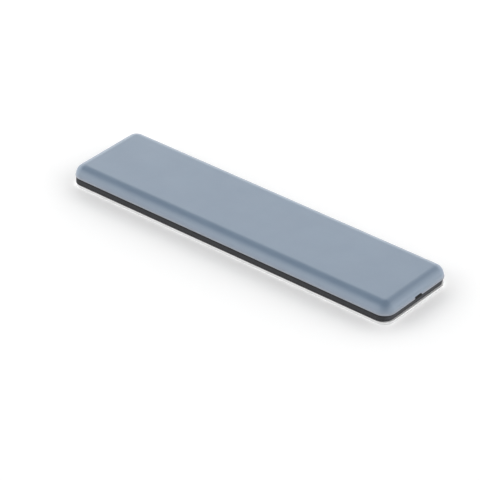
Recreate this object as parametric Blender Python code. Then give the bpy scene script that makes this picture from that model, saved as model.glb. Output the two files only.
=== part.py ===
"""Self-adhesive furniture glide pad, lying glide face up on its release liner.

A hard, slippery cap is moulded over a soft rubber core. Under the core a double-sided
foam tape is bonded, and the tape's open side is covered by a release liner until the
pad is stuck under a furniture foot.

Metres, +Z up, +X along the pad. The origin is the middle of the liner's underside.
"""
import bmesh
import bpy
from mathutils import Vector

# Plan of the pad, at the cap's rim.
PAD_LENGTH = 0.100
PAD_WIDTH = 0.025
CORNER_RADIUS = 0.0032

# Heights of the layers, from the liner up.
LINER_THICKNESS = 0.00014
COAT_THICKNESS = 0.00006
FOAM_THICKNESS = 0.00044
BAND_HEIGHT = 0.00188
CAP_HEIGHT = 0.00302

# The cap: a thin shell with a round shoulder and a small lip all round its rim.
CAP_WALL = 0.0010
SHOULDER_RADIUS = 0.0027
LIP_REACH = 0.00014
LIP_HEIGHT = 0.00024

# The mark of the moulding gate: a low arch in the rim, in the middle of one short end.
GATE_WIDTH = 0.0028
GATE_HEIGHT = 0.00050
GATE_SHOULDER = 0.00042

# How far the edges of the band and of the tape stand back from the rim's lip, and how far the
# band's foot leans in at the end with the gate mark.
BAND_INSET = 0.00012
TAPE_INSET = 0.00012
GATE_END_LEAN = 0.00045

# Clearances between pieces that are bonded face to face.
LAYER_GAP = 0.00002
RECESS_GAP = 0.00003

# Pieces that a Boolean joins overlap by this much, and cutters overshoot by it.
OVERLAP = 0.0004

CORNER_STEPS = 8
SHOULDER_STEPS = 7
GATE_STEPS = 4
SMOOTH_ANGLE = 0.6
SAME_HEIGHT = 1e-6

MATERIALS = {
    "glide_cap": ((0.235, 0.300, 0.372, 1.0), 0.34),
    "cushion_core": ((0.030, 0.032, 0.037, 1.0), 0.72),
    "upper_adhesive": ((0.78, 0.77, 0.70, 1.0), 0.35),
    "foam_tape": ((0.86, 0.87, 0.88, 1.0), 0.80),
    "lower_adhesive": ((0.78, 0.77, 0.70, 1.0), 0.35),
    "release_liner": ((0.80, 0.81, 0.82, 1.0), 0.50),
}


def clear_scene():
    for old in list(bpy.data.objects):
        bpy.data.objects.remove(old, do_unlink=True)


def new_collection(name, hidden=False):
    collection = bpy.data.collections.new(name)
    collection.hide_render = hidden
    bpy.context.scene.collection.children.link(collection)
    return collection


def block_mesh(name, low, high):
    """A box between two corners."""
    low, high = Vector(low), Vector(high)
    mesh = bpy.data.meshes.new(name)
    bm = bmesh.new()
    bmesh.ops.create_cube(bm, size=1.0)
    bmesh.ops.scale(bm, vec=high - low, verts=bm.verts)
    bmesh.ops.translate(bm, vec=(low + high) / 2, verts=bm.verts)
    bm.to_mesh(mesh)
    bm.free()
    return mesh


def round_edges(mesh, wanted, radius, steps):
    """Rounds the edges that wanted picks from their two ends."""
    bm = bmesh.new()
    bm.from_mesh(mesh)
    edges = [edge for edge in bm.edges if wanted(edge.verts[0].co, edge.verts[1].co)]
    bmesh.ops.bevel(
        bm,
        geom=edges,
        offset=radius,
        offset_type="OFFSET",
        segments=steps,
        profile=0.5,
        affect="EDGES",
        clamp_overlap=True,
        material=-1,
    )
    bm.to_mesh(mesh)
    bm.free()


def slab_mesh(name, inset, height, shoulder=0.0, steps=SHOULDER_STEPS):
    """A slab of the pad's plan, drawn in by inset all round, that stands on z = 0."""
    half_length = PAD_LENGTH / 2 - inset
    half_width = PAD_WIDTH / 2 - inset
    mesh = block_mesh(name, (-half_length, -half_width, 0.0), (half_length, half_width, height))

    def at_corner(a, b):
        return abs(a.z - b.z) > SAME_HEIGHT

    def at_top(a, b):
        return min(a.z, b.z) > height - SAME_HEIGHT

    round_edges(mesh, at_corner, CORNER_RADIUS - inset, CORNER_STEPS)
    if shoulder:
        round_edges(mesh, at_top, shoulder, steps)
    return mesh


def lean_foot(mesh, lean):
    """Draws the foot of a slab in by lean at the end with the gate mark."""
    back = min(vert.co.x for vert in mesh.vertices)
    front = max(vert.co.x for vert in mesh.vertices)
    for vert in mesh.vertices:
        if vert.co.z < SAME_HEIGHT:
            vert.co.x -= lean * (vert.co.x - back) / (front - back)


def gate_mesh(name, inner_x, outer_x, gap):
    """A low arch along X whose middle line lies on z = 0, where the cap's rim is."""
    half_width = GATE_WIDTH / 2 - gap
    top = GATE_HEIGHT - gap
    mesh = block_mesh(name, (inner_x, -half_width, -OVERLAP), (outer_x, half_width, top))

    def at_shoulder(a, b):
        along_x = abs(a.y - b.y) < SAME_HEIGHT
        return along_x and min(a.z, b.z) > top - SAME_HEIGHT

    round_edges(mesh, at_shoulder, GATE_SHOULDER - gap, GATE_STEPS)
    return mesh


def add_object(name, mesh, collection, height):
    thing = bpy.data.objects.new(name, mesh)
    thing.location.z = height
    collection.objects.link(thing)
    return thing


def combine(thing, operation, name, mesh, height):
    """Joins a hidden tool to a piece, or cuts it out of the piece."""
    tool = add_object(name, mesh, tools, height)
    tool.hide_render = True
    tool.display_type = "WIRE"
    boolean = thing.modifiers.new(name, "BOOLEAN")
    boolean.object = tool
    boolean.operation = operation
    boolean.solver = "EXACT"


def add_piece(name, mesh, height):
    """A piece of the pad, with its own material and its round parts shaded smooth."""
    piece = add_object(name, mesh, parts, height)
    colour, roughness = MATERIALS[name]
    material = bpy.data.materials.new(name)
    material.use_nodes = True
    shader = material.node_tree.nodes["Principled BSDF"]
    shader.inputs["Base Color"].default_value = colour
    shader.inputs["Roughness"].default_value = roughness
    shader.inputs["Metallic"].default_value = 0.0
    piece.data.materials.append(material)
    piece.data.shade_smooth()
    piece.data.set_sharp_from_angle(angle=SMOOTH_ANGLE)
    return piece


def add_layer(name, thickness, height):
    """A flat layer of the tape. Returns it and the height at which the next one starts."""
    piece = add_piece(name, slab_mesh(name, TAPE_INSET, thickness), height)
    return piece, height + thickness + LAYER_GAP


def add_core(height):
    """The rubber core: a band that shows, and a raised filling that fits in the cap."""
    band = slab_mesh("band", BAND_INSET, BAND_HEIGHT)
    lean_foot(band, GATE_END_LEAN)
    core = add_piece("cushion_core", band, height)
    rim = height + BAND_HEIGHT + LAYER_GAP
    filling = slab_mesh(
        "filling",
        LIP_REACH + CAP_WALL + RECESS_GAP,
        OVERLAP + CAP_HEIGHT - CAP_WALL - RECESS_GAP,
        SHOULDER_RADIUS - CAP_WALL - RECESS_GAP,
    )
    combine(core, "UNION", "core_filling", filling, rim - OVERLAP)
    plug_end = PAD_LENGTH / 2 - BAND_INSET - LAYER_GAP
    plug = gate_mesh("plug", plug_end - 2 * CAP_WALL, plug_end, RECESS_GAP)
    combine(core, "UNION", "core_gate_plug", plug, rim)
    return core, rim


def add_cap(height):
    """The hard cap: a shell over the core, with a lip at its rim and the gate's arch."""
    shell = slab_mesh("shell", LIP_REACH, CAP_HEIGHT, SHOULDER_RADIUS)
    cap = add_piece("glide_cap", shell, height)
    lip = slab_mesh("lip", 0.0, LIP_HEIGHT, LIP_REACH, steps=2)
    combine(cap, "UNION", "cap_lip", lip, height)
    recess = slab_mesh(
        "recess",
        LIP_REACH + CAP_WALL,
        OVERLAP + CAP_HEIGHT - CAP_WALL,
        SHOULDER_RADIUS - CAP_WALL,
    )
    combine(cap, "DIFFERENCE", "cap_recess", recess, height - OVERLAP)
    arch_start = PAD_LENGTH / 2 - LIP_REACH - 2 * CAP_WALL
    arch = gate_mesh("arch", arch_start, PAD_LENGTH / 2 + OVERLAP, 0.0)
    combine(cap, "DIFFERENCE", "cap_gate_arch", arch, height)
    return cap


clear_scene()
parts = new_collection("furniture_glide_pad")
tools = new_collection("furniture_glide_pad_tools", hidden=True)

liner, liner_top = add_layer("release_liner", LINER_THICKNESS, 0.0)
lower_coat, coat_top = add_layer("lower_adhesive", COAT_THICKNESS, liner_top)
foam, foam_top = add_layer("foam_tape", FOAM_THICKNESS, coat_top)
upper_coat, core_bottom = add_layer("upper_adhesive", COAT_THICKNESS, foam_top)
core, cap_bottom = add_core(core_bottom)
cap = add_cap(cap_bottom)
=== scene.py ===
"""Looks of a self-adhesive furniture glide pad, lying glide face up on its release liner."""
import math

import bmesh
import bpy
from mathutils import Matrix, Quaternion, Vector, noise


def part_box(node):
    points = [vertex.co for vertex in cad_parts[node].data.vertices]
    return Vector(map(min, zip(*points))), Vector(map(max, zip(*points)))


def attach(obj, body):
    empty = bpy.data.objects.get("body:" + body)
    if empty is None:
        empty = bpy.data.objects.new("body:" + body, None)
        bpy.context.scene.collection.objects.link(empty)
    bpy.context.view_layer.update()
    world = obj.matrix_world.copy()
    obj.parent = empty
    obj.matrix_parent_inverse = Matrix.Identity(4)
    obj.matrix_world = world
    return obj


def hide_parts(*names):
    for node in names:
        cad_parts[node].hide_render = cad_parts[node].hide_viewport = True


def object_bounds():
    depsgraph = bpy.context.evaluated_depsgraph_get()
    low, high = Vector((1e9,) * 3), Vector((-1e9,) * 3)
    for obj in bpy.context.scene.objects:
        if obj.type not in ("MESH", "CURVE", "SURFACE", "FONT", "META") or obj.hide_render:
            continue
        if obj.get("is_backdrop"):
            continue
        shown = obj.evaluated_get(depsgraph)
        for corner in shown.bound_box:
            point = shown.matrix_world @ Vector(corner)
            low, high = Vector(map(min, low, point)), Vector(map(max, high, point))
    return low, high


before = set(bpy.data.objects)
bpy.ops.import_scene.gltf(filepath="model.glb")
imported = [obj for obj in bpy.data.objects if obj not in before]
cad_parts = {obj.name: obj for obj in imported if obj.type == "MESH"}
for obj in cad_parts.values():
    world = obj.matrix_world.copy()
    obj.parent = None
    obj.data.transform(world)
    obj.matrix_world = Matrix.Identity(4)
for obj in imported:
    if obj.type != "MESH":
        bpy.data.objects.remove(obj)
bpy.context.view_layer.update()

MM = 0.001

# Sizes of the moulded cap, of its gate's arch and of the clearances, as the model has them.
CORNER_RADIUS = 3.2 * MM
SHOULDER_RADIUS = 2.7 * MM
CAP_WALL = 1.0 * MM
LIP_REACH = 0.14 * MM
LIP_HEIGHT = 0.24 * MM
RECESS_GAP = 0.03 * MM
LAYER_GAP = 0.02 * MM
GATE_WIDTH = 2.8 * MM
GATE_HEIGHT = 0.50 * MM
GATE_SHOULDER = 0.42 * MM
GATE_DEPTH = 2 * CAP_WALL
GATE_END_LEAN = 0.45 * MM

# Small rounds of the pieces' edges. The lip is rounded over most of its reach.
SMALL_EDGE = 0.05 * MM
LIP_ROUND = 0.9 * LIP_REACH
LIP_FLAT = 0.1 * LIP_REACH
BAND_ROUND = 2 * SMALL_EDGE
FOAM_ROUND = SMALL_EDGE / 2
LINER_ROUND = SMALL_EDGE / 3

# How far in the ring lies that keeps the shoulder's shading off the flat glide face.
GLIDE_RING = 3 * SMALL_EDGE

# How far the filling and the gate's plug start below the band's top, inside the band.
FILLING_FOOT = CAP_WALL / 2

# The blade leaves the sides of the die-cut layers wavering, on average this far inside the
# model's plan. A vertex is on a side if it lies farther out than SIDE_START, as a share of
# the half length or width.
FOAM_WAVER = 0.03 * MM
LINER_WAVER = 0.02 * MM
WAVERS_PER_MM = 0.45
SIDE_START = 0.98

# How finely the round parts are stepped, how far apart the loops round the pad are, and
# how far they stay clear of the round corners.
CORNER_STEPS = 14
SHOULDER_STEPS = 12
INNER_STEPS = 6
GATE_STEPS = 6
EDGE_STEPS = 3
LAYER_EDGE_STEPS = 2
LOOP_SPACING = 4.0 * MM
LOOP_MARGIN = 2 * SMALL_EDGE
SMOOTH_ANGLE = 0.5

# Distances below which two places count as one, and how upright a level face's normal is.
SAME_PLACE = 1e-7
ON_CUT = 1e-8
LEVEL_NORMAL = 0.99

# Heights above the cap's rim at which the painted reflection on its side and the painted
# highlight on its lip, which is paler still, have faded out.
PAINTED_REFLECTION_HEIGHT = 2.2 * MM
LIP_HIGHLIGHT_END = 2 * LIP_HEIGHT

# Sizes of the features in the finishes, and the depths of their relief.
CLOUD_SIZE = 9 * MM
GRAIN_SIZE = 0.35 * MM
SHEEN_SIZE = 6 * MM
SINK_SIZE = 14 * MM
SINK_DEPTH = 0.06 * MM
SKIN_SIZE = 0.22 * MM
SKIN_DEPTH = 0.002 * MM
SPECKLE_SIZE = 0.12 * MM
DULLNESS_SIZE = 0.5 * MM
RUBBER_PORE = 0.14 * MM
RUBBER_PORE_DEPTH = 0.02 * MM
RUBBER_LUMP = 0.9 * MM
RUBBER_LUMP_DEPTH = 0.03 * MM
FOAM_CELL = 0.10 * MM
FOAM_CELL_DEPTH = 0.02 * MM
FOAM_PATCH = 0.4 * MM
FIBRE_SIZE = 0.6 * MM
FIBRE_DEPTH = 0.004 * MM
BUBBLE_SIZE = 0.5 * MM
BUBBLE_DEPTH = 0.005 * MM
COAT_PATCH = 0.8 * MM

# Most of a noise's values lie in this span.
NOISE_SPAN = (0.3, 0.7)

# Where the dust on the rubber's gate end fades in, as distances from that end.
DUST_START = 1.4 * MM
DUST_FULL = 0.5 * MM

# Where the painted lip shadow under the cap's rim fades in, as distances below the rim.
LIP_SHADOW_START = 0.55 * MM
LIP_SHADOW_FULL = 0.25 * MM

# Where the paper turns into its shinier silicone face, as distances below that face.
PAPER_DEPTH = 0.03 * MM
SILICONE_DEPTH = 0.01 * MM

# The camera. Angles are in degrees, its lens and sensor in millimetres, the rest in metres.
CAMERA_AZIMUTH = 38.7
CAMERA_ELEVATION = 32.3
CAMERA_ROLL = 0.7
CAMERA_DISTANCE = 0.738
CAMERA_LENS = 225.0
SENSOR_WIDTH = 36.0
NEAREST = 0.05
FARTHEST = 20.0
AIM_LEFT = 3.7 * MM
AIM_DOWN = 4.2 * MM

# The floor, and the light of the walls and the ceiling with the heights, in degrees,
# between which one fades into the other.
FLOOR_SIZE = 5.0
FLOOR_GLOW = 0.18
WALL_LIGHT = 2.0
CEILING_LIGHT = 0.10
WALL_TOP = 31.0
CEILING_EDGE = 56.0

# The dark gap in the walls behind the camera. Edge and core say how directly a direction
# points there, from 0 at right angles to 1. Away from the gap the light has SIDE_SHARE
# of its strength, and in its core GAP_SHARE.
GAP_EDGE = 0.50
GAP_CORE = 0.90
GAP_SHARE = 0.08
SIDE_SHARE = 1.12


# ---------------------------------------------------------------- shape helpers

def flat_block(low, high):
    """A bmesh box between two corners."""
    bm = bmesh.new()
    bmesh.ops.create_cube(bm, size=1.0)
    bmesh.ops.scale(bm, vec=high - low, verts=bm.verts)
    bmesh.ops.translate(bm, vec=(low + high) / 2, verts=bm.verts)
    return bm


def round_edges(bm, edges, radius, steps):
    bmesh.ops.bevel(
        bm,
        geom=list(edges),
        offset=radius,
        offset_type="OFFSET",
        segments=steps,
        profile=0.5,
        affect="EDGES",
        clamp_overlap=True,
        material=-1,
    )
    bm.normal_update()


def level_face(bm, z):
    """The largest level face at that height."""
    level = [
        face for face in bm.faces
        if abs(face.normal.z) > LEVEL_NORMAL
        and abs(face.calc_center_median().z - z) < SAME_PLACE
    ]
    return max(level, key=lambda face: face.calc_area())


def plan_slab(half_length, half_width, corner, low, high):
    """A slab between two heights, with round plan corners."""
    bm = flat_block(
        Vector((-half_length, -half_width, low)),
        Vector((half_length, half_width, high)),
    )
    upright = [
        edge for edge in bm.edges
        if abs(edge.verts[0].co.z - edge.verts[1].co.z) > SAME_PLACE
    ]
    round_edges(bm, upright, corner, CORNER_STEPS)
    return bm


def draw_in(bm, face, distance):
    """Draws a face in by distance, which leaves a level ring round it."""
    bmesh.ops.inset_region(
        bm, faces=[face], thickness=distance, depth=0.0, use_even_offset=True
    )
    return face


def raise_face(bm, face, rise):
    """Raises a face on walls of its own."""
    raised = bmesh.ops.extrude_discrete_faces(bm, faces=[face])["faces"][0]
    bmesh.ops.translate(bm, vec=(0.0, 0.0, rise), verts=raised.verts)
    return raised


def cut_loop(bm, point, normal):
    everything = bm.verts[:] + bm.edges[:] + bm.faces[:]
    bmesh.ops.bisect_plane(
        bm, geom=everything, dist=ON_CUT, plane_co=point, plane_no=normal
    )


def add_loops(bm, half_length, half_width, corner):
    """Cuts loops across and along the pad, so that its sides and flat faces shade evenly."""
    across_x = (half_length, Vector((1.0, 0.0, 0.0)))
    across_y = (half_width, Vector((0.0, 1.0, 0.0)))
    for half_size, direction in (across_x, across_y):
        reach = half_size - corner - LOOP_MARGIN
        count = round(2 * reach / LOOP_SPACING)
        for i in range(count + 1):
            place = -reach + 2 * reach * i / count
            cut_loop(bm, direction * place, direction)


def make_object(name, bm):
    """Turns a bmesh into an object, with its doubles merged and its faces outwards."""
    bmesh.ops.remove_doubles(bm, verts=bm.verts, dist=SAME_PLACE)
    bmesh.ops.recalc_face_normals(bm, faces=bm.faces)
    mesh = bpy.data.meshes.new(name)
    bm.to_mesh(mesh)
    bm.free()
    thing = bpy.data.objects.new(name, mesh)
    bpy.context.scene.collection.objects.link(thing)
    return thing


def shade(thing):
    thing.data.shade_smooth()
    thing.data.set_sharp_from_angle(angle=SMOOTH_ANGLE)


def combine(thing, tool, operation):
    """Joins the tool to the piece or cuts it out, and removes the tool."""
    boolean = thing.modifiers.new("combine", "BOOLEAN")
    boolean.object = tool
    boolean.operation = operation
    boolean.solver = "EXACT"
    bpy.context.view_layer.update()
    graph = bpy.context.evaluated_depsgraph_get()
    mesh = bpy.data.meshes.new_from_object(thing.evaluated_get(graph))
    thing.modifiers.clear()
    thing.data = mesh
    bpy.data.objects.remove(tool, do_unlink=True)


def gate_tool(name, inner_x, outer_x, gap, low, rim):
    """The low arch of the moulding gate, along X."""
    half_width = GATE_WIDTH / 2 - gap
    top = rim + GATE_HEIGHT - gap
    bm = flat_block(Vector((inner_x, -half_width, low)), Vector((outer_x, half_width, top)))
    shoulders = [
        edge for edge in bm.edges
        if min(vert.co.z for vert in edge.verts) > top - SAME_PLACE
        and abs(edge.verts[0].co.y - edge.verts[1].co.y) < SAME_PLACE
    ]
    round_edges(bm, shoulders, GATE_SHOULDER - gap, GATE_STEPS)
    return make_object(name, bm)


# ---------------------------------------------------------------- the pieces

def make_cap():
    """The moulded cap: a rim with a small lip, round shoulders, a recess and the gate's arch."""
    low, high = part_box("glide_cap")
    half_length, half_width = (high.x - low.x) / 2, (high.y - low.y) / 2
    lip_top = low.z + LIP_HEIGHT
    bm = plan_slab(half_length, half_width, CORNER_RADIUS, low.z, lip_top)
    round_edges(bm, level_face(bm, lip_top).edges, LIP_ROUND, EDGE_STEPS)
    wall_foot = draw_in(bm, level_face(bm, lip_top), LIP_FLAT)
    glide_face = raise_face(bm, wall_foot, high.z - low.z - LIP_HEIGHT)
    round_edges(bm, glide_face.edges, SHOULDER_RADIUS, SHOULDER_STEPS)
    draw_in(bm, level_face(bm, high.z), GLIDE_RING)
    under = draw_in(bm, level_face(bm, low.z), LIP_REACH + CAP_WALL)
    ceiling = raise_face(bm, under, high.z - low.z - CAP_WALL)
    round_edges(bm, ceiling.edges, SHOULDER_RADIUS - CAP_WALL, INNER_STEPS)
    add_loops(bm, half_length, half_width, CORNER_RADIUS)
    cap = make_object("moulded_cap", bm)
    arch_start = high.x - LIP_REACH - GATE_DEPTH
    arch = gate_tool("arch", arch_start, high.x + CAP_WALL, 0.0, low.z - CAP_WALL, low.z)
    combine(cap, arch, "DIFFERENCE")
    shade(cap)
    return cap


def make_core():
    """The rubber core: a band whose foot leans in at the gate end, a filling and a plug."""
    low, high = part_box("cushion_core")
    rim_low, rim_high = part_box("glide_cap")
    rim = rim_low.z
    half_length, half_width = (high.x - low.x) / 2, (high.y - low.y) / 2
    corner = CORNER_RADIUS - (rim_high.y - high.y)
    band_top = rim - LAYER_GAP
    bm = plan_slab(half_length, half_width, corner, low.z, band_top)
    round_edges(bm, level_face(bm, low.z).edges, BAND_ROUND, EDGE_STEPS)
    round_edges(bm, level_face(bm, band_top).edges, BAND_ROUND, EDGE_STEPS)
    add_loops(bm, half_length, half_width, CORNER_RADIUS)
    for vert in bm.verts:
        lean = GATE_END_LEAN * (band_top - vert.co.z) / (band_top - low.z)
        vert.co.x -= lean * (vert.co.x - low.x) / (high.x - low.x)
    core = make_object("rubber_core", bm)

    inset = LIP_REACH + CAP_WALL + RECESS_GAP
    foot = band_top - FILLING_FOOT
    bm = plan_slab(
        rim_high.x - inset, rim_high.y - inset, CORNER_RADIUS - inset, foot, high.z
    )
    shoulder = SHOULDER_RADIUS - CAP_WALL - RECESS_GAP
    round_edges(bm, level_face(bm, high.z).edges, shoulder, INNER_STEPS)
    combine(core, make_object("filling", bm), "UNION")

    plug_end = high.x - LAYER_GAP
    plug = gate_tool("plug", plug_end - GATE_DEPTH, plug_end, RECESS_GAP, foot, rim)
    combine(core, plug, "UNION")
    shade(core)
    return core


def make_layer(name, node, edge, wobble):
    """A die-cut layer: its sides waver a little, as a blade leaves them."""
    low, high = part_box(node)
    half_length, half_width = (high.x - low.x) / 2, (high.y - low.y) / 2
    corner = CORNER_RADIUS - (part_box("glide_cap")[1].x - high.x)
    bm = plan_slab(half_length, half_width, corner, low.z, high.z)
    round_edges(bm, level_face(bm, high.z).edges, edge, LAYER_EDGE_STEPS)
    round_edges(bm, level_face(bm, low.z).edges, edge, LAYER_EDGE_STEPS)
    add_loops(bm, half_length, half_width, corner)
    for vert in bm.verts:
        out = Vector((vert.co.x / half_length, vert.co.y / half_width, 0.0))
        if max(abs(out.x), abs(out.y)) > SIDE_START:
            waver = noise.noise(vert.co / MM * WAVERS_PER_MM) - 1.0
            vert.co += out.normalized() * wobble * waver
    layer = make_object(name, bm)
    shade(layer)
    return layer


# ---------------------------------------------------------------- finishes

def new_material(name, colour, roughness, **sockets):
    """A material, and its shader with constants on its own sockets."""
    material = bpy.data.materials.new(name)
    material.use_nodes = True
    shader = material.node_tree.nodes["Principled BSDF"]
    shader.inputs["Base Color"].default_value = (*colour, 1.0)
    shader.inputs["Roughness"].default_value = roughness
    for socket, value in sockets.items():
        shader.inputs[socket.replace("_", " ")].default_value = value
    return material, shader


def map_range(tree, value, between, onto, ends="LINEAR"):
    """Turns the first range of a value into the second, and holds it beyond both ends."""
    node = tree.nodes.new("ShaderNodeMapRange")
    node.interpolation_type = ends
    tree.links.new(value, node.inputs["Value"])
    sockets = ("From Min", "From Max", "To Min", "To Max")
    for socket, number in zip(sockets, (*between, *onto)):
        node.inputs[socket].default_value = number
    return node.outputs["Result"]


class Nodes:
    """Adds and links nodes of one material."""

    def __init__(self, material):
        self.tree = material.node_tree
        self.coordinates = self.tree.nodes.new("ShaderNodeTexCoord")

    def add(self, kind, **settings):
        node = self.tree.nodes.new(kind)
        for key, value in settings.items():
            setattr(node, key, value)
        return node

    def link(self, out, into):
        self.tree.links.new(out, into)

    def noise(self, size, detail=2.0, roughness=0.5, distortion=0.0):
        """A noise whose features are about size metres."""
        node = self.add("ShaderNodeTexNoise")
        node.inputs["Scale"].default_value = 1.0 / size
        node.inputs["Detail"].default_value = detail
        node.inputs["Roughness"].default_value = roughness
        node.inputs["Distortion"].default_value = distortion
        self.link(self.coordinates.outputs["Object"], node.inputs["Vector"])
        return node.outputs["Fac"]

    def cells(self, size):
        """Round cells, about size metres apart."""
        node = self.add("ShaderNodeTexVoronoi", feature="F1")
        node.inputs["Scale"].default_value = 1.0 / size
        self.link(self.coordinates.outputs["Object"], node.inputs["Vector"])
        return node.outputs["Distance"]

    def place(self, axis):
        """Where a point of the surface lies along X, Y or Z."""
        split = self.add("ShaderNodeSeparateXYZ")
        self.link(self.coordinates.outputs["Object"], split.inputs["Vector"])
        return split.outputs[axis]

    def remap(self, value, between, onto=(0.0, 1.0)):
        return map_range(self.tree, value, between, onto)

    def blend(self, share, first, second):
        """A colour between first and second, each a colour or another node's output."""
        node = self.add("ShaderNodeMix", data_type="RGBA")
        self.link(share, node.inputs["Factor"])
        for socket, colour in zip(("A", "B"), (first, second)):
            target = next(s for s in node.inputs if s.name == socket and s.type == "RGBA")
            if isinstance(colour, tuple):
                target.default_value = (*colour, 1.0)
            else:
                self.link(colour, target)
        return next(s for s in node.outputs if s.type == "RGBA")

    def bump(self, height, distance, strength=1.0, under=None):
        """A relief of that depth, on top of another relief if one is given."""
        node = self.add("ShaderNodeBump")
        node.inputs["Distance"].default_value = distance
        node.inputs["Strength"].default_value = strength
        self.link(height, node.inputs["Height"])
        if under is not None:
            self.link(under, node.inputs["Normal"])
        return node.outputs["Normal"]


def cap_material(rim):
    """Satin moulded fluoropolymer: faint clouding, a fine grain, painted reflection low on the
    side, a painted highlight on the lip.
    """
    material, shader = new_material("satin_cap", (0.20, 0.27, 0.36), 0.30)
    nodes = Nodes(material)
    deep_blue, light_blue = (0.188, 0.256, 0.346), (0.202, 0.274, 0.366)
    grain_blue = (0.215, 0.285, 0.375)
    # Painted reflection: the side near the rim is paler; painted highlight: the lip, paler
    # still.
    rim_reflection_blue = (0.298, 0.350, 0.422)
    lip_highlight_blue = (0.36, 0.395, 0.45)

    clouds = nodes.remap(nodes.noise(CLOUD_SIZE, detail=3.0), NOISE_SPAN)
    body = nodes.blend(clouds, deep_blue, light_blue)
    grain = nodes.noise(GRAIN_SIZE, detail=4.0, roughness=0.6)
    body = nodes.blend(nodes.remap(grain, (0.35, 0.75), (0.0, 0.35)), body, grain_blue)
    # Painted reflection fading up the side from the rim, then the painted highlight on the lip.
    reflection_zone = (rim + LIP_HEIGHT, rim + PAINTED_REFLECTION_HEIGHT)
    pale = nodes.remap(nodes.place("Z"), reflection_zone, (1.0, 0.0))
    colour = nodes.blend(pale, body, rim_reflection_blue)
    highlight_zone = (rim + LIP_HEIGHT, rim + LIP_HIGHLIGHT_END)
    lip = nodes.remap(nodes.place("Z"), highlight_zone, (1.0, 0.0))
    nodes.link(nodes.blend(lip, colour, lip_highlight_blue), shader.inputs["Base Color"])

    sheen = nodes.remap(nodes.noise(SHEEN_SIZE, detail=0.0), (0.2, 0.8), (0.28, 0.34))
    nodes.link(sheen, shader.inputs["Roughness"])
    sinks = nodes.bump(nodes.noise(SINK_SIZE, detail=1.0), SINK_DEPTH)
    skin = nodes.bump(nodes.noise(SKIN_SIZE, detail=3.0), SKIN_DEPTH, under=sinks)
    nodes.link(skin, shader.inputs["Normal"])
    return material


def rubber_material(end, rim):
    """Charcoal closed-cell rubber: pores, paler specks, a dusty gate end, a painted shadow under
    the rim.
    """
    material, shader = new_material(
        "charcoal_rubber", (0.03, 0.031, 0.035), 0.75, Specular_IOR_Level=0.3
    )
    nodes = Nodes(material)
    charcoal, speck = (0.029, 0.030, 0.033), (0.052, 0.054, 0.060)
    dusty_charcoal, dusty_speck = (0.045, 0.047, 0.053), (0.075, 0.078, 0.086)
    # Painted shadow of the cap's lip: a dark line along the band's top.
    painted_lip_shadow = (0.006, 0.006, 0.007)

    speckle = nodes.noise(SPECKLE_SIZE, detail=3.0, roughness=0.6)
    speckle = nodes.remap(speckle, (0.42, 0.78))
    colour = nodes.blend(speckle, charcoal, speck)
    dusty = nodes.blend(speckle, dusty_charcoal, dusty_speck)
    dust_zone = (end - DUST_START, end - DUST_FULL)
    dust = nodes.remap(nodes.place("X"), dust_zone)
    colour = nodes.blend(dust, colour, dusty)
    # The band's top is painted dark just under the rim, a painted shadow cast by the lip.
    lip_shadow_zone = (rim - LIP_SHADOW_START, rim - LIP_SHADOW_FULL)
    shadow = nodes.remap(nodes.place("Z"), lip_shadow_zone)
    nodes.link(nodes.blend(shadow, colour, painted_lip_shadow), shader.inputs["Base Color"])

    dullness = nodes.remap(nodes.noise(DULLNESS_SIZE), NOISE_SPAN, (0.62, 0.78))
    nodes.link(dullness, shader.inputs["Roughness"])
    pores = nodes.bump(nodes.cells(RUBBER_PORE), RUBBER_PORE_DEPTH, strength=0.6)
    lumps = nodes.noise(RUBBER_LUMP, detail=3.0)
    relief = nodes.bump(lumps, RUBBER_LUMP_DEPTH, strength=0.6, under=pores)
    nodes.link(relief, shader.inputs["Normal"])
    return material


def foam_material():
    """White foam with cut cells at its sides."""
    material, shader = new_material("white_foam", (0.70, 0.70, 0.71), 0.85)
    nodes = Nodes(material)
    cell_white, wall_white = (0.83, 0.835, 0.84), (0.90, 0.902, 0.905)

    cells = nodes.remap(nodes.cells(FOAM_CELL), (0.0, 0.6))
    nodes.link(nodes.blend(cells, cell_white, wall_white), shader.inputs["Base Color"])
    dullness = nodes.remap(nodes.noise(FOAM_PATCH), NOISE_SPAN, (0.78, 0.92))
    nodes.link(dullness, shader.inputs["Roughness"])
    relief = nodes.bump(nodes.cells(FOAM_CELL), FOAM_CELL_DEPTH, strength=0.7)
    nodes.link(relief, shader.inputs["Normal"])
    return material


def paper_material(top):
    """Coated release paper: faint fibres, and a shinier silicone face on top."""
    material, shader = new_material("release_paper", (0.85, 0.85, 0.86), 0.5)
    nodes = Nodes(material)
    paper_white, fibre_white = (0.86, 0.863, 0.868), (0.90, 0.902, 0.906)

    fibres = nodes.noise(FIBRE_SIZE, detail=5.0, roughness=0.65, distortion=0.8)
    fibres = nodes.remap(fibres, NOISE_SPAN)
    nodes.link(nodes.blend(fibres, paper_white, fibre_white), shader.inputs["Base Color"])
    face_zone = (top - PAPER_DEPTH, top - SILICONE_DEPTH)
    coated = nodes.remap(nodes.place("Z"), face_zone, (0.55, 0.30))
    nodes.link(coated, shader.inputs["Roughness"])
    relief = nodes.bump(fibres, FIBRE_DEPTH, strength=0.6)
    nodes.link(relief, shader.inputs["Normal"])
    return material


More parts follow.
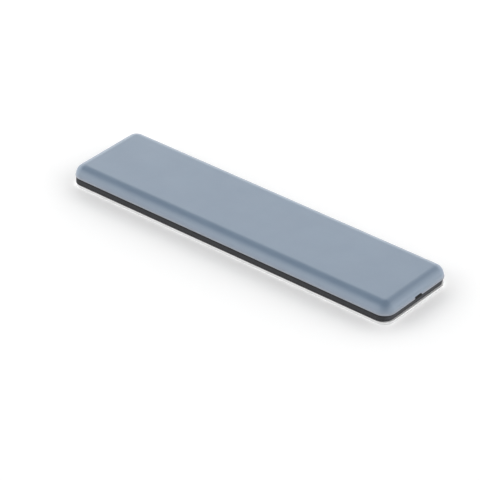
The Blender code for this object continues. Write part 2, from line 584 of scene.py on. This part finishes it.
def adhesive_material():
    """A clear acrylic coat over white foam, with tiny bubbles."""
    material, shader = new_material("acrylic_coat", (0.88, 0.88, 0.88), 0.35)
    nodes = Nodes(material)
    bubble_white, coat_white = (0.89, 0.89, 0.885), (0.85, 0.85, 0.845)

    bubbles = nodes.remap(nodes.cells(BUBBLE_SIZE), (0.0, 0.5))
    nodes.link(nodes.blend(bubbles, bubble_white, coat_white), shader.inputs["Base Color"])
    dullness = nodes.remap(nodes.noise(COAT_PATCH), NOISE_SPAN, (0.30, 0.42))
    nodes.link(dullness, shader.inputs["Roughness"])
    relief = nodes.bump(bubbles, BUBBLE_DEPTH, strength=0.8)
    nodes.link(relief, shader.inputs["Normal"])
    return material


def wear(thing, material):
    """Gives a piece its one material."""
    thing.data.materials.clear()
    thing.data.materials.append(material)


# ---------------------------------------------------------------- the studio

def add_floor():
    """A pale floor that glows slightly, so that it comes out white."""
    bpy.ops.mesh.primitive_plane_add(size=FLOOR_SIZE, location=(0.0, 0.0, 0.0))
    floor = bpy.context.object
    floor.name = "studio_floor"
    material, shader = new_material("pale_floor", (0.93, 0.93, 0.93), 0.7)
    shader.inputs["Emission Color"].default_value = (1.0, 1.0, 1.0, 1.0)
    shader.inputs["Emission Strength"].default_value = FLOOR_GLOW
    wear(floor, material)
    floor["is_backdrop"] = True


def add_sky():
    """Bright walls, a dim ceiling above them, and a dark gap behind the camera."""
    world = bpy.data.worlds.new("studio")
    bpy.context.scene.world = world
    world.use_nodes = True
    tree = world.node_tree
    background = tree.nodes["Background"]
    background.inputs["Color"].default_value = (1.0, 1.0, 1.0, 1.0)
    where = tree.nodes.new("ShaderNodeTexCoord").outputs["Generated"]

    split = tree.nodes.new("ShaderNodeSeparateXYZ")
    tree.links.new(where, split.inputs["Vector"])
    heights = (math.sin(math.radians(WALL_TOP)), math.sin(math.radians(CEILING_EDGE)))
    lights = (WALL_LIGHT, CEILING_LIGHT)
    light = map_range(tree, split.outputs["Z"], heights, lights, "SMOOTHSTEP")

    facing = tree.nodes.new("ShaderNodeVectorMath")
    facing.operation = "DOT_PRODUCT"
    azimuth = math.radians(CAMERA_AZIMUTH)
    facing.inputs[1].default_value = (math.sin(azimuth), -math.cos(azimuth), 0.0)
    tree.links.new(where, facing.inputs[0])
    closeness = (GAP_EDGE, GAP_CORE)
    shares = (SIDE_SHARE, GAP_SHARE)
    share = map_range(tree, facing.outputs["Value"], closeness, shares, "SMOOTHSTEP")

    product = tree.nodes.new("ShaderNodeMath")
    product.operation = "MULTIPLY"
    tree.links.new(light, product.inputs[0])
    tree.links.new(share, product.inputs[1])
    tree.links.new(product.outputs["Value"], background.inputs["Strength"])


def add_camera():
    """The camera, turned to the middle of the pad and then a little down and to the left."""
    low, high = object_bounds()
    middle = (low + high) / 2
    azimuth, elevation = math.radians(CAMERA_AZIMUTH), math.radians(CAMERA_ELEVATION)
    back = Vector((
        math.sin(azimuth) * math.cos(elevation),
        -math.cos(azimuth) * math.cos(elevation),
        math.sin(elevation),
    ))
    right = Vector((0.0, 0.0, 1.0)).cross(back).normalized()
    up = back.cross(right)
    data = bpy.data.cameras.new("camera")
    data.lens = CAMERA_LENS
    data.sensor_width = SENSOR_WIDTH
    data.clip_start = NEAREST
    data.clip_end = FARTHEST
    camera = bpy.data.objects.new("camera", data)
    bpy.context.scene.collection.objects.link(camera)
    camera.location = middle + back * CAMERA_DISTANCE
    aim = middle - right * AIM_LEFT - up * AIM_DOWN
    camera.rotation_mode = "QUATERNION"
    look = (aim - camera.location).to_track_quat("-Z", "Y")
    roll = Quaternion((0.0, 0.0, 1.0), math.radians(CAMERA_ROLL))
    camera.rotation_quaternion = look @ roll
    bpy.context.scene.camera = camera


# ---------------------------------------------------------------- assembly

def assemble():
    """Makes each piece, gives it its finish and puts it in place of its CAD node."""
    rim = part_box("glide_cap")[0].z
    cap = make_cap()
    wear(cap, cap_material(rim))
    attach(cap, "pad")
    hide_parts("glide_cap")

    core = make_core()
    wear(core, rubber_material(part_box("cushion_core")[1].x, rim))
    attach(core, "pad")
    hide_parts("cushion_core")

    foam = make_layer("foam_layer", "foam_tape", FOAM_ROUND, FOAM_WAVER)
    wear(foam, foam_material())
    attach(foam, "pad")
    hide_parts("foam_tape")

    liner = make_layer("liner_sheet", "release_liner", LINER_ROUND, LINER_WAVER)
    wear(liner, paper_material(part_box("release_liner")[1].z))
    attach(liner, "liner")
    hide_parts("release_liner")

    coat = adhesive_material()
    for node in ("upper_adhesive", "lower_adhesive"):
        wear(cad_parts[node], coat)


assemble()
add_floor()
add_sky()
add_camera()
bpy.context.scene.view_settings.view_transform = "Standard"
